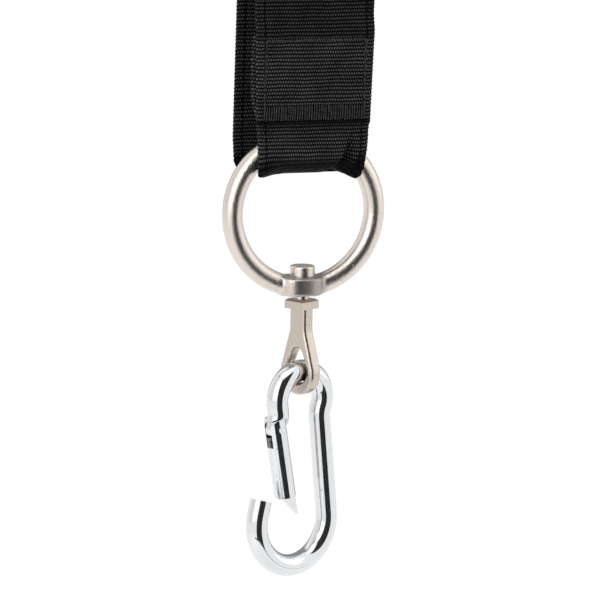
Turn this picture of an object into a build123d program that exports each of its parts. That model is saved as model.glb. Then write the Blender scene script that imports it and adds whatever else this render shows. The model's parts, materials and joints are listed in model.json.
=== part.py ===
from build123d import *
import os
from math import acos, asin, atan2, cos, radians, sin, sqrt

# A webbing lanyard: a closed loop of heavy webbing, sewn in a lap joint, holds a round ring.  A swivel
# eye turns in the ring's boss, and a spring hook with a sprung gate hangs in the eye.
# Millimetres, +Z up.  The ring lies in the XZ plane, the webbing's width runs along X, -Y is the front.
# The origin is the point that the loop hangs from: the middle of the inside of its top bend.

# --- webbing ---------------------------------------------------------------------------------------
web_width = 40.0
web_thickness = 1.6
loop_inside_length = 150.0
top_bend_radius = 12.0  # inside radius where the loop hangs
ring_bend_radius = 6.2  # inside radius where the loop passes through the ring
squeezed_width = 28.0  # width of the webbing where it passes through the ring
pocket_base_width = 33.0  # width of the two legs just above that bend
pocket_height = 15.0  # from the inside of the ring bend up to the lap joint
lap_length = 28.6
lap_gap = 0.1  # between the two layers of the lap
tail_gap = 0.6  # beyond the tail's cut end
ease_length = 7.0  # over which the outer layer settles back in line with the leg
web_clearance = 0.3  # between the webbing and the ring

# --- stitching -------------------------------------------------------------------------------------
thread_diameter = 0.6
thread_height = 0.35  # how far a row of stitches stands proud of the webbing
stitch_edge_distance = 3.4  # from the webbing's edge to a side row
bar_tack_height = 4.6
bar_tack_offset = 1.4  # from the lap's lower end

# --- ring ------------------------------------------------------------------------------------------
ring_inner_diameter = 41.0
ring_wire_diameter = 6.6
boss_diameter = 13.0
boss_height = 5.8
boss_rise = 0.1  # the boss's top face above the inside of the ring

# --- swivel ----------------------------------------------------------------------------------------
pin_diameter = 4.6
pin_head_diameter = 8.0
pin_head_height = 3.4
pin_head_round = 0.8
running_clearance = 0.06  # radial, of a turning shaft in its bore
head_play = 0.1  # under the pin's head
collar_play = 1.4  # between the boss and the eye's collar
collar_width = 7.7
collar_depth = 7.7
collar_height = 3.1
collar_bevel = 0.7
socket_floor = 0.2  # collar left below the pin's end
neck_width = 6.8
neck_length = 7.0
neck_round = 9.0  # where the neck runs out into the eye
eye_diameter = 14.3
eye_thickness = 4.5
eye_length = 30.9  # from the collar's top to the eye's lowest point
eye_hole_width = 8.6
eye_hole_height = 11.4
eye_hole_top_radius = 2.4
eye_bar = 3.7  # below the hole
eye_edge_round = 1.2

# --- hook ------------------------------------------------------------------------------------------
hook_length = 70.0
hook_wire_diameter = 7.0
small_end_radius = 9.3  # of the wire's centre line
big_end_radius = 14.45  # of the wire's centre line
flare_angle = 10.2  # of each leg, from the hook's own axis
waist_radius = 6.0  # of the hollow bend between the small end and each leg
pivot_drop = 9.0  # from the small end's centre down to the gate's pivot
nose_drop = 31.9  # from the small end's centre down to the nose's cut face
hook_seat_clearance = 0.45  # between the hook's wire and the eye

# --- gate ------------------------------------------------------------------------------------------
gate_rest_angle = 25.0  # the gate stands this far open
gate_nose_gap = 0.55  # between the gate's shoulder and the nose when shut
tongue_thickness = 2.8
tongue_radius = 3.1
tongue_flat_width = 3.0  # the flat that the plunger bears on when the gate is shut
slot_clearance = 0.1  # on each side of the tongue
hinge_clearance = 0.3  # between the gate's round end and the hook
slot_depth = 4.0  # below the pivot
outer_notch_depth = 5.6  # below the pivot, on the gate's outer side
outer_notch_reach = 2.0  # from the gate's outer side inwards
rivet_diameter = 2.6
rivet_proud = 0.12
blade_thickness = 1.6
blade_length = 7.0
blade_tip_width = 0.3
blade_step = 2.2  # straight part of the blade's outer edge
blade_inset = 0.1  # from the gate's inner side
blade_overlap = 0.4  # how far the blade reaches past the gate's axis
blade_clearance = 0.25  # of the blade in the nose's slit
spring_bore_diameter = 3.5
spring_bore_end = 17.0  # below the pivot
plunger_diameter = 3.3
plunger_length = 4.5
plunger_clearance = 0.08  # from the tongue and from the spring
spring_diameter = 3.1
spring_wire_diameter = 0.5
spring_turns = 6

# --- how the hanging pieces lie at rest ----------------------------------------------------------------
swivel_turn = 27.0  # of the eye's hole from the ring's plane
hook_twist = -7.0  # of the hook in the eye's hole, about the upright
hook_tilt = 3.5  # of the hook in its own plane, towards the gate

# --- worked out from the sizes above -------------------------------------------------------------------
margin = 1.0  # how far a cutting piece runs past what it cuts
ring_wire_radius = ring_wire_diameter / 2
ring_radius = ring_inner_diameter / 2 + ring_wire_radius
bend_floor = -loop_inside_length
web_contact_height = sqrt((ring_inner_diameter / 2) ** 2 - (squeezed_width / 2) ** 2)
ring_centre = bend_floor - web_contact_height + web_clearance
ring_swing_height = ring_centre + ring_radius * sin(acos(squeezed_width / ring_inner_diameter))
boss_top = ring_centre - ring_inner_diameter / 2 + boss_rise
boss_bottom = boss_top - boss_height
collar_top = boss_bottom - collar_play
collar_bottom = collar_top - collar_height
eye_bottom = collar_top - eye_length
eye_centre = eye_bottom + eye_diameter / 2
hook_wire_radius = hook_wire_diameter / 2
hole_bottom = eye_bottom + eye_bar
small_end_centre = hole_bottom - small_end_radius + hook_wire_radius + hook_seat_clearance
hook_hinge_height = small_end_centre + small_end_radius
big_end_drop = hook_length - hook_wire_diameter - small_end_radius - big_end_radius
flare = radians(flare_angle)


def leg_offset(drop):
    """Distance of a leg's centre line from the hook's axis, at a height below the small end's centre."""
    return (big_end_radius - (big_end_drop - drop) * sin(flare)) / cos(flare)


pivot_offset = leg_offset(pivot_drop)
nose_offset = leg_offset(nose_drop)
gate_length = (nose_drop - pivot_drop) / cos(flare) - gate_nose_gap


# --- webbing -----------------------------------------------------------------------------------------
bend_distance = loop_inside_length - top_bend_radius - ring_bend_radius
leg_slope = asin((top_bend_radius - ring_bend_radius) / bend_distance)
lap_start = pocket_height - ring_bend_radius  # along the front leg, from the ring bend's tangent point
lap_end = lap_start + lap_length


def belt(offset):
    """The area inside a belt laid round the two bends, grown outwards by an offset."""
    side_y, side_z = cos(leg_slope), -sin(leg_slope)
    top = (0, -top_bend_radius)
    low = (0, bend_floor + ring_bend_radius)
    top_r = top_bend_radius + offset
    low_r = ring_bend_radius + offset
    top_right = (top_r * side_y, top[1] + top_r * side_z)
    low_right = (low_r * side_y, low[1] + low_r * side_z)
    low_left = (-low_right[0], low_right[1])
    top_left = (-top_right[0], top_right[1])
    edges = [
        Line(top_right, low_right),
        ThreePointArc(low_right, (0, low[1] - low_r), low_left),
        Line(low_left, top_left),
        ThreePointArc(top_left, (0, top[1] + top_r), top_right),
    ]
    return make_face(Wire(edges))


def front_leg_point(along, out):
    """A point of the front leg: along the leg from the ring bend, and out from its inner face."""
    y = -ring_bend_radius * cos(leg_slope) - along * sin(leg_slope) - out * cos(leg_slope)
    z = bend_floor + ring_bend_radius * (1 - sin(leg_slope)) + along * cos(leg_slope) - out * sin(leg_slope)
    return (y, z)


def front_leg_area(corners):
    """A closed area of the front leg's section, from (along, out) corners."""
    points = [front_leg_point(*corner) for corner in corners]
    return make_face(Polyline(*points, close=True))


def across(area, width):
    """A section area in the YZ plane, carried across the webbing's width."""
    return extrude(Plane.YZ * area, amount=width / 2, both=True)


def make_webbing():
    """One strip of webbing: up from its tail, through the ring, round the loop and down over the tail."""
    inner = web_thickness + lap_gap
    outer = inner + web_thickness
    settle = lap_end + ease_length
    tail_end = lap_end - tail_gap
    gap = front_leg_area([(tail_end, -margin), (settle, -margin), (settle, outer), (tail_end, outer)])
    top_layer = front_leg_area(
        [
            (lap_start, inner),
            (lap_end, inner),
            (settle, 0),
            (settle, web_thickness),
            (lap_end, outer),
            (lap_start, outer),
        ]
    )
    section = belt(web_thickness) - belt(0) - gap + top_layer
    strip = across(section, web_width)
    floor = bend_floor - web_thickness
    shoulder = bend_floor + pocket_height - bar_tack_height / 2
    half, base = web_width / 2, pocket_base_width / 2
    outline = Polyline(
        (-half, web_thickness + margin),
        (half, web_thickness + margin),
        (half, shoulder),
        (base, floor),
        (-base, floor),
        (-half, shoulder),
        close=True,
    )
    strip = strip & extrude(Plane.XZ * make_face(outline), amount=2 * top_bend_radius + outer, both=True)
    for side in (-1, 1):
        notch = Box(web_width, 2 * (ring_bend_radius - web_clearance), 2 * ring_bend_radius)
        strip -= Pos(side * (squeezed_width + web_width) / 2, 0, bend_floor + ring_bend_radius / 2) * notch
    return strip


def stitch_strip(x_low, x_high, along_low, along_high, proud):
    """A flat run of thread that lies on the outer layer of the lap."""
    face_out = 2 * web_thickness + lap_gap
    area = front_leg_area(
        [(along_low, face_out), (along_high, face_out), (along_high, face_out + proud), (along_low, face_out + proud)]
    )
    return Pos((x_low + x_high) / 2, 0, 0) * across(area, x_high - x_low)


tack_half = web_width / 2 - stitch_edge_distance
tack_low = lap_start + bar_tack_offset
tack_high = tack_low + bar_tack_height
top_row = lap_end - 2 * thread_diameter - tail_gap


def make_bar_tack():
    return stitch_strip(-tack_half, tack_half, tack_low, tack_high, thread_height)


def make_box_stitching():
    """Two rows up the sides of the lap and one across its top."""
    half = thread_diameter / 2
    rows = []
    for side in (-1, 1):
        x = side * tack_half
        rows.append(stitch_strip(x - half, x + half, tack_high + half, top_row - 2 * half, thread_height))
    rows.append(stitch_strip(-tack_half - half, tack_half + half, top_row - half, top_row + half, thread_height))
    return Compound(children=rows)


# --- ring and swivel -----------------------------------------------------------------------------------
def turn(shape):
    """Built square to the ring, then turned on the swivel's axis to its place at rest."""
    return shape.rotate(Axis.Z, swivel_turn)


def upright(radius, low, high):
    """A cylinder about the Z axis."""
    return Pos(0, 0, (low + high) / 2) * Cylinder(radius, high - low)


def make_ring():
    """A hoop of round wire with a boss at its lowest point, bored for the swivel's pin."""
    top = Plane(origin=(0, 0, ring_centre + ring_radius), x_dir=(0, 1, 1), z_dir=(1, 0, 0))
    hoop = revolve(top * Circle(ring_wire_radius), Axis((0, 0, ring_centre), (0, 1, 0)))
    radius = boss_diameter / 2
    hoop -= upright(radius, boss_bottom - ring_wire_diameter, boss_top + ring_wire_diameter)
    hoop += upright(radius, boss_bottom, boss_top)
    hoop -= upright(pin_diameter / 2 + running_clearance, boss_bottom - margin, boss_top + margin)
    return hoop


def make_swivel_pin():
    head_low = boss_top + head_play
    head = upright(pin_head_diameter / 2, head_low, head_low + pin_head_height)
    head = fillet(head.edges().group_by(Axis.Z)[-1], pin_head_round)
    shank = upright(pin_diameter / 2, collar_bottom + socket_floor, head_low)
    return turn(head + shank)


def make_swivel_eye():
    """A cast eye: a bevelled collar, a flat neck and an eye, with its hole along X before it is turned."""
    radius = eye_diameter / 2
    neck = neck_width / 2
    neck_foot = collar_bottom - neck_length
    # each flank is a tangent from the foot of the neck to the eye's round
    reach = sqrt(neck**2 + (neck_foot - eye_centre) ** 2)
    touch = atan2(neck_foot - eye_centre, neck) - acos(radius / reach)
    touch_y, touch_z = radius * cos(touch), eye_centre + radius * sin(touch)
    sides = FilletPolyline((neck, collar_top), (neck, neck_foot), (touch_y, touch_z), radius=neck_round)
    outline = Wire(
        [
            *sides.edges(),
            ThreePointArc((touch_y, touch_z), (0, eye_bottom), (-touch_y, touch_z)),
            *sides.mirror(Plane.YZ).edges(),
            Line((-neck, collar_top), (neck, collar_top)),
        ]
    )
    plate = extrude(Plane.YZ * make_face(outline), amount=eye_thickness / 2, both=True)
    # the hole is narrower at its top, so that the wall round it stays even
    low_radius = eye_hole_width / 2
    low_centre = hole_bottom + low_radius
    top_centre = hole_bottom + eye_hole_height - eye_hole_top_radius
    slope = asin((low_radius - eye_hole_top_radius) / (top_centre - low_centre))
    low_y, low_z = low_radius * cos(slope), low_centre + low_radius * sin(slope)
    top_y, top_z = eye_hole_top_radius * cos(slope), top_centre + eye_hole_top_radius * sin(slope)
    hole = Wire(
        [
            Line((top_y, top_z), (low_y, low_z)),
            ThreePointArc((low_y, low_z), (0, hole_bottom), (-low_y, low_z)),
            Line((-low_y, low_z), (-top_y, top_z)),
            ThreePointArc((-top_y, top_z), (0, hole_bottom + eye_hole_height), (top_y, top_z)),
        ]
    )
    plate -= extrude(Plane.YZ * make_face(hole), amount=eye_thickness, both=True)
    faces = plate.faces().sort_by(Axis.X)
    plate = fillet(faces[0].edges() + faces[-1].edges(), eye_edge_round)
    above = Box(eye_diameter, eye_diameter, 2 * collar_height)
    plate -= Pos(0, 0, collar_bottom + collar_height) * above
    collar = Pos(0, 0, (collar_top + collar_bottom) / 2) * Box(collar_depth, collar_width, collar_height)
    collar = chamfer(collar.edges().group_by(Axis.Z)[-1], collar_bevel)
    socket = upright(pin_diameter / 2, collar_bottom + socket_floor, collar_top + margin)
    return turn(collar + plate - socket)


# --- hook ----------------------------------------------------------------------------------------------
# The hook is drawn in the XZ plane with its small end's centre at the origin, the gate's side on -X.
def place_hook(shape):
    return turn(Pos(0, 0, small_end_centre) * shape.rotate(Axis.Y, hook_tilt).rotate(Axis.Z, hook_twist))


def waist():
    """The hollow bend of a leg: its centre, and where it meets the small end and the leg."""
    # its centre lies waist_radius outside the leg's line and outside the small end's round
    line = big_end_radius + waist_radius
    reach = small_end_radius + waist_radius
    # a point with x cos(flare) + (z + big_end_drop) sin(flare) = line, at that reach from the origin
    distance = line - big_end_drop * sin(flare)
    turn_down = acos(distance / reach)
    angle = flare - turn_down
    centre = Vector(reach * cos(angle), 0, reach * sin(angle))
    on_round = centre * (small_end_radius / reach)
    on_leg = centre - Vector(cos(flare), 0, sin(flare)) * waist_radius
    middle = (on_round - centre) + (on_leg - centre)
    return on_round, centre + middle.normalized() * waist_radius, on_leg


def hook_path():
    """The wire's centre line, from the nose round the big end, up the back and over to the pivot."""
    on_round, hollow, on_leg = waist()
    big_x, big_z = big_end_radius * cos(flare), -big_end_drop + big_end_radius * sin(flare)

    def other(point):
        return Vector(-point.X, 0, point.Z)

    return Wire(
        [
            Line((-nose_offset, 0, -nose_drop), (-big_x, 0, big_z)),
            ThreePointArc((-big_x, 0, big_z), (0, 0, -big_end_drop - big_end_radius), (big_x, 0, big_z)),
            Line((big_x, 0, big_z), on_leg),
            ThreePointArc(on_leg, hollow, on_round),
            ThreePointArc(on_round, (0, 0, small_end_radius), other(on_round)),
            ThreePointArc(other(on_round), other(hollow), other(on_leg)),
            Line(other(on_leg), (-pivot_offset, 0, -pivot_drop)),
        ]
    )


def on_gate_line(shape, opening=0.0):
    """From the gate's own frame (pivot at the origin, the bar down -Z, the inner side on +X) to the hook's."""
    return Pos(-pivot_offset, 0, -pivot_drop) * shape.rotate(Axis.Y, flare_angle - opening)


def across_gate(radius, length):
    """A cylinder about the pivot."""
    return Cylinder(radius, length, rotation=(90, 0, 0))


def gate_plate(points, thickness):
    """A flat piece in the hook's plane, at its middle, in the gate's frame."""
    return extrude(Plane.XZ * make_face(Polyline(*points, close=True)), amount=thickness / 2, both=True)


def blade(gap):
    """The gate's blade, or with a gap the slit in the nose that takes it."""
    inner = hook_wire_radius - blade_inset
    outer = -blade_overlap - gap
    side = hook_wire_radius + margin if gap else inner
    root = -gate_length + margin
    tip = -gate_length - blade_length - gap
    step = -gate_length - blade_step - gap
    points = [(outer, root), (outer, step), (inner - blade_tip_width, tip), (side, tip), (side, root)]
    return gate_plate(points, blade_thickness + 2 * gap)


def make_hook_body():
    path = hook_path()
    start = Plane(origin=path @ 0, z_dir=path % 0)
    wire = sweep(start * Circle(hook_wire_radius), path=path)
    # the hinge end: the full wire stops short of the gate's round end, and a flat tongue goes on
    clear = hook_wire_radius + hinge_clearance
    cut = across_gate(clear, hook_wire_diameter + margin)
    cut += Pos(0, 0, -clear / 2) * Box(2 * clear, hook_wire_diameter + margin, clear)
    wire -= on_gate_line(cut)
    tongue = across_gate(tongue_radius, tongue_thickness)
    tongue += Pos(0, 0, clear / 2) * Box(2 * tongue_radius, tongue_thickness, clear)
    flat = sqrt(tongue_radius**2 - (tongue_flat_width / 2) ** 2)
    tongue -= Pos(0, 0, -flat - clear / 2) * Box(2 * clear, 2 * tongue_thickness, clear)
    wire += on_gate_line(tongue)
    wire -= on_gate_line(across_gate(rivet_diameter / 2 + running_clearance, hook_wire_diameter + margin))
    wire -= on_gate_line(blade(blade_clearance))
    return place_hook(wire)


def place_gate(shape):
    return place_hook(on_gate_line(shape, gate_rest_angle))


def gate_bore(diameter, high, low):
    return Pos(0, 0, (high + low) / 2) * Cylinder(diameter / 2, high - low)


def make_gate():
    """A round bar, forked at the pivot and bored for its spring, with a flat blade at its free end."""
    bar = gate_bore(hook_wire_diameter, hook_wire_radius, -gate_length)
    rounding = across_gate(hook_wire_radius, hook_wire_diameter)
    wide = hook_wire_diameter + margin
    bar = (bar & (rounding + Pos(0, 0, -gate_length) * Box(wide, wide, 2 * gate_length))) + blade(0)
    slot = tongue_thickness + 2 * slot_clearance
    top = hook_wire_diameter
    bar -= Pos(0, 0, (top - slot_depth) / 2) * Box(wide, slot, top + slot_depth)
    notch = Box(outer_notch_reach, slot, outer_notch_depth)
    bar -= Pos(-hook_wire_radius + outer_notch_reach / 2, 0, -outer_notch_depth / 2) * notch
    bar -= gate_bore(spring_bore_diameter, 0, -spring_bore_end)
    bar -= across_gate(rivet_diameter / 2, wide)
    return place_gate(bar)


def make_gate_rivet():
    rivet = across_gate(rivet_diameter / 2, hook_wire_diameter + 2 * rivet_proud)
    return place_gate(chamfer(rivet.edges().filter_by(GeomType.CIRCLE), rivet_proud))


# the plunger bears on the tongue, whose corner has turned to meet it when the gate stands open
plunger_top = -tongue_radius - plunger_clearance
plunger_low = plunger_top - plunger_length


def make_gate_plunger():
    return place_gate(gate_bore(plunger_diameter, plunger_top, plunger_low))


def make_gate_spring():
    wire = spring_wire_diameter
    height = spring_bore_end + plunger_low - 2 * plunger_clearance - wire
    coil = Helix(height / spring_turns, height, (spring_diameter - wire) / 2)
    start = Plane(origin=coil @ 0, z_dir=coil % 0)
    spring = sweep(start * Circle(wire / 2), path=coil, is_frenet=True)
    return place_gate(Pos(0, 0, -spring_bore_end + plunger_clearance + wire / 2) * spring)


def make_parts():
    return {
        "webbing": make_webbing(),
        "bar_tack": make_bar_tack(),
        "box_stitching": make_box_stitching(),
        "ring": make_ring(),
        "swivel_pin": make_swivel_pin(),
        "swivel_eye": make_swivel_eye(),
        "hook_body": make_hook_body(),
        "gate": make_gate(),
        "gate_rivet": make_gate_rivet(),
        "gate_plunger": make_gate_plunger(),
        "gate_spring": make_gate_spring(),
    }


if __name__ == "__main__":
    os.makedirs("parts", exist_ok=True)
    for name, shape in make_parts().items():
        shape.label = name
        export_step(shape, f"parts/{name}.step")
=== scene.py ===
# %% [markdown]
# # A webbing lanyard with a ring, a swivel and a spring hook
# The strap is woven nylon and everything below it is plated metal.  The metal's shapes come ready made from
# the engineering model, so here they get their finishes.  The strap, its sewing and the ring are made new,
# because cloth that bulges and metal that flows softly into a boss are easier to work out as smooth
# surfaces.

import json
from math import asin, cos, pi, radians, sin

import bmesh
import bpy
import numpy as np
from mathutils import Matrix, Vector


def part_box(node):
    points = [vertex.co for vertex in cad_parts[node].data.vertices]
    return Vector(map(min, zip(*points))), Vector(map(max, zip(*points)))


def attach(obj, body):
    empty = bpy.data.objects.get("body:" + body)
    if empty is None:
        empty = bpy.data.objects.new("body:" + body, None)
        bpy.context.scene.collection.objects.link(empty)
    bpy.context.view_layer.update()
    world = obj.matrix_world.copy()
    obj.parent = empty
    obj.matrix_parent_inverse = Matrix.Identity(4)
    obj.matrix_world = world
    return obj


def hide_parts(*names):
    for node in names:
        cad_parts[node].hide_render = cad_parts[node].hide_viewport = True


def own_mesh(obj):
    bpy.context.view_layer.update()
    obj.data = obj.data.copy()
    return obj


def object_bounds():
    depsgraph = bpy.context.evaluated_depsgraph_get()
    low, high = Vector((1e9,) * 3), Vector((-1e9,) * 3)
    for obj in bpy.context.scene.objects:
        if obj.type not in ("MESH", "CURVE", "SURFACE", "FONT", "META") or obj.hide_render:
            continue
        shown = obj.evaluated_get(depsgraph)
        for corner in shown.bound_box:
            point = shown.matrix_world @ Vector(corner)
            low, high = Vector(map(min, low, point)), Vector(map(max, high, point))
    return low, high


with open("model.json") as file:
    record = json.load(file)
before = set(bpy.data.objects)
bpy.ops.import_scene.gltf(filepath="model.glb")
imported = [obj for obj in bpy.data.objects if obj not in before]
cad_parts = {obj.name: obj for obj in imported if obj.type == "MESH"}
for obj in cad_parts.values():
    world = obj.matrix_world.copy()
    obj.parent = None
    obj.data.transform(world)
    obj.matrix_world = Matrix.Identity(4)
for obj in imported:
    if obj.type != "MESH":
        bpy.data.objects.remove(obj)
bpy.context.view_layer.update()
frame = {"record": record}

MM = 0.001  # lengths below are written in millimetres and turned to metres once
rng = np.random.default_rng(7)

# %% [markdown]
# ## The camera
# A long lens from a metre and a half away keeps the strap's edges almost parallel.  The camera is placed by
# the direction that it looks from, then rolled a little, then aimed below the ring.

# %% Place the camera
VIEW_AZIMUTH = radians(-20.1)
VIEW_ELEVATION = radians(9.2)
VIEW_ROLL = radians(1.1)
VIEW_DISTANCE = 1.5
VIEW_WIDTH = 0.1899  # what the camera takes in at the object
AIM_LEFT, AIM_DOWN = 1.11, 27.77  # from the ring's centre
SENSOR_MM = 36.0
FAR_CLIP = 30

ring_low, ring_high = (np.array(corner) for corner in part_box("ring"))
RING_CENTRE = Vector((0, 0, ring_high[2] - (ring_high[0] - ring_low[0]) / 2))

back = Vector(
    (
        sin(VIEW_AZIMUTH) * cos(VIEW_ELEVATION),
        -cos(VIEW_AZIMUTH) * cos(VIEW_ELEVATION),
        sin(VIEW_ELEVATION),
    )
)
level_right = Vector((cos(VIEW_AZIMUTH), sin(VIEW_AZIMUTH), 0))
level_up = back.cross(level_right)
camera_right = level_right * cos(VIEW_ROLL) + level_up * sin(VIEW_ROLL)
camera_up = level_up * cos(VIEW_ROLL) - level_right * sin(VIEW_ROLL)
target = RING_CENTRE - camera_right * AIM_LEFT * MM - camera_up * AIM_DOWN * MM

camera_data = bpy.data.cameras.new("camera")
camera_data.sensor_width = SENSOR_MM
camera_data.lens = SENSOR_MM * VIEW_DISTANCE / VIEW_WIDTH
camera_data.clip_end = FAR_CLIP
camera = bpy.data.objects.new("camera", camera_data)
bpy.context.scene.collection.objects.link(camera)
turned = Matrix((camera_right, camera_up, back)).transposed().to_4x4()
camera.matrix_world = Matrix.Translation(target + back * VIEW_DISTANCE) @ turned
bpy.context.scene.camera = camera
print("lens", round(camera_data.lens, 1), "mm")

# %% [markdown]
# ## Helpers for surfaces
# Every new piece here is a grid: a table of points with rows and columns, worked out as whole arrays, whose
# neighbours are joined by four-sided faces.  A grid that closes on itself is a tube.


# %% Grids to meshes
def grid_faces(rows, columns, close_rows=False, close_columns=False):
    """Faces between neighbouring points of a grid that is stored row by row."""
    r = np.arange(rows if close_rows else rows - 1)
    c = np.arange(columns if close_columns else columns - 1)
    r, c = np.meshgrid(r, c, indexing="ij")
    r_next, c_next = (r + 1) % rows, (c + 1) % columns
    corners = [
        r * columns + c,
        r * columns + c_next,
        r_next * columns + c_next,
        r_next * columns + c,
    ]
    return np.stack(corners, axis=-1).reshape(-1, 4)


def fill_mesh(mesh, points_mm, quads, other_faces=(), uv_mm=None):
    """Put the points and faces into a mesh, smooth shaded, with a map in millimetres."""
    points = np.asarray(points_mm, dtype=float).reshape(-1, 3) * MM
    faces = [tuple(face) for face in [*quads.tolist(), *np.asarray(other_faces).tolist()]]
    mesh.from_pydata(points.tolist(), [], faces)
    mesh.polygons.foreach_set("use_smooth", np.ones(len(faces), dtype=bool))
    if uv_mm is not None:
        corner = np.empty(len(mesh.loops), dtype=np.int32)
        mesh.loops.foreach_get("vertex_index", corner)
        layer = mesh.uv_layers.new(name="weave")
        layer.data.foreach_set("uv", np.asarray(uv_mm, dtype=float).reshape(-1, 2)[corner].ravel())
    mesh.validate()
    mesh.update()
    print(mesh.name, "has", len(points), "points and", len(faces), "faces")


def smoothstep(low, high, value):
    """0 below low, 1 above high, and the easy slope t t (3 - 2 t) between them."""
    t = np.clip((value - low) / (high - low), 0, 1)
    return t * t * (3 - 2 * t)


def bell(value, middle, reach):
    """A smooth bump that is 1 at its middle: e to the minus square of the distance over the reach."""
    return np.exp(-(((value - middle) / reach) ** 2))


# %% [markdown]
# ## Helpers for pieces
# Each piece sits at the origin with its place in its mesh.  It rides on the body that it belongs to, so that
# it moves with the joints, and its slot says which finish it takes.


# %% Pieces
def new_object(name):
    """An object with an empty mesh, linked to the scene."""
    thing = bpy.data.objects.new(name, bpy.data.meshes.new(name))
    bpy.context.scene.collection.objects.link(thing)
    return thing


def new_piece(name, body, material):
    """An empty mesh object at the origin that moves with a body and takes its finish from a slot."""
    piece = new_object(name)
    piece.data.materials.append(material)
    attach(piece, body)
    return piece


# %% [markdown]
# ## Helpers for finishes
# A colour is written as the hex value that a screen shows.  Blender adds light in linear numbers, so one
# function turns the first into the second.  One more adds a node, with its settings and its links, and hands
# back the output that the next node needs.  A third turns the size of a pattern's cells into its scale.


# %% Colours and nodes
def colour(hex_value):
    """An sRGB hex colour as a linear one: the power law of the sRGB standard on each channel."""
    srgb = np.array([int(hex_value[i : i + 2], 16) for i in (1, 3, 5)]) / 255
    linear = np.where(srgb <= 0.04045, srgb / 12.92, ((srgb + 0.055) / 1.055) ** 2.4)
    return (*linear.tolist(), 1.0)


def add_node(tree, kind, inputs=(), output=0, **settings):
    """Add a node with its settings, set or link each of its inputs, and return one of its outputs."""
    node = tree.nodes.new("ShaderNode" + kind)
    for key, value in settings.items():
        setattr(node, key, value)
    pairs = inputs.items() if isinstance(inputs, dict) else enumerate(inputs)
    for key, value in pairs:
        if isinstance(value, bpy.types.NodeSocket):
            tree.links.new(value, node.inputs[key])
        else:
            node.inputs[key].default_value = value
    return node.outputs[output]


def cell_scale(size_mm):
    """The scale that makes one cell of a pattern this wide."""
    return 1 / (size_mm * MM)


def new_material(name, shader_values):
    """A material with one main shader; each value is set on the shader's own socket."""
    material = bpy.data.materials.new(name)
    material.use_nodes = True
    tree = material.node_tree
    shader = tree.nodes["Principled BSDF"]
    for key, value in shader_values.items():
        shader.inputs[key].default_value = value
    print("finish", name)
    return material, tree, shader


# %% [markdown]
# ## Woven nylon webbing
# The strap is woven from black nylon: thick weft threads lie across it like the rungs of a ladder, and the
# warp runs over and under them, so each rung shows as a row of small beads.  Along both edges the selvedge
# has no beads, only smooth rungs.  The rungs are real shape in the mesh.  The beads are too fine for that,
# so they are a bump in the material, on the strap's own map: across in U, along in V, both in millimetres.

# %% The weave's height
RUNG_PITCH = 1.17
BEAD_PITCH = 0.84
SELVEDGE_START = 17.1  # from the strap's middle
SELVEDGE_LEVEL = 0.52  # of a bead's height
DARK_LINE = 0.35  # half the width of the groove between the beads and the selvedge


def weave_height(tree, across, along):
    """A rung's sine along the strap, times a bead's sine across it, times the selvedge's dark line."""
    rung_turn = add_node(tree, "Math", (along, pi / RUNG_PITCH), operation="MULTIPLY")
    rung_wave = add_node(tree, "Math", (rung_turn,), operation="SINE")
    rung = add_node(tree, "Math", (rung_wave,), operation="ABSOLUTE")
    # the beads of every other rung are moved along it by half a bead
    rungs = add_node(tree, "Math", (along, RUNG_PITCH), operation="DIVIDE")
    whole_rungs = add_node(tree, "Math", (rungs,), operation="FLOOR")
    rung_count = add_node(tree, "Math", (whole_rungs,), operation="ABSOLUTE")
    odd = add_node(tree, "Math", (rung_count, 2.0), operation="MODULO")
    beads = add_node(tree, "Math", (across, BEAD_PITCH), operation="DIVIDE")
    shifted = add_node(tree, "Math", (odd, 0.5, beads), operation="MULTIPLY_ADD")
    bead_turn = add_node(tree, "Math", (shifted, pi), operation="MULTIPLY")
    bead_wave = add_node(tree, "Math", (bead_turn,), operation="SINE")
    bead = add_node(tree, "Math", (bead_wave,), operation="ABSOLUTE")
    # the selvedge is level, and a dark line parts it from the beads
    from_middle = add_node(tree, "Math", (across,), operation="ABSOLUTE")
    in_selvedge = add_node(tree, "Math", (from_middle, SELVEDGE_START), operation="GREATER_THAN")
    selvedge = add_node(tree, "Math", (in_selvedge, SELVEDGE_LEVEL), operation="MULTIPLY")
    crosswise = add_node(tree, "Math", (bead, selvedge), operation="MAXIMUM")
    past_start = add_node(tree, "Math", (from_middle, SELVEDGE_START), operation="SUBTRACT")
    from_line = add_node(tree, "Math", (past_start,), operation="ABSOLUTE")
    line = add_node(tree, "Math", (from_line, DARK_LINE), operation="DIVIDE", use_clamp=True)
    on_rung = add_node(tree, "Math", (rung, crosswise), operation="MULTIPLY")
    return add_node(tree, "Math", (on_rung, line), operation="MULTIPLY")
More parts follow.
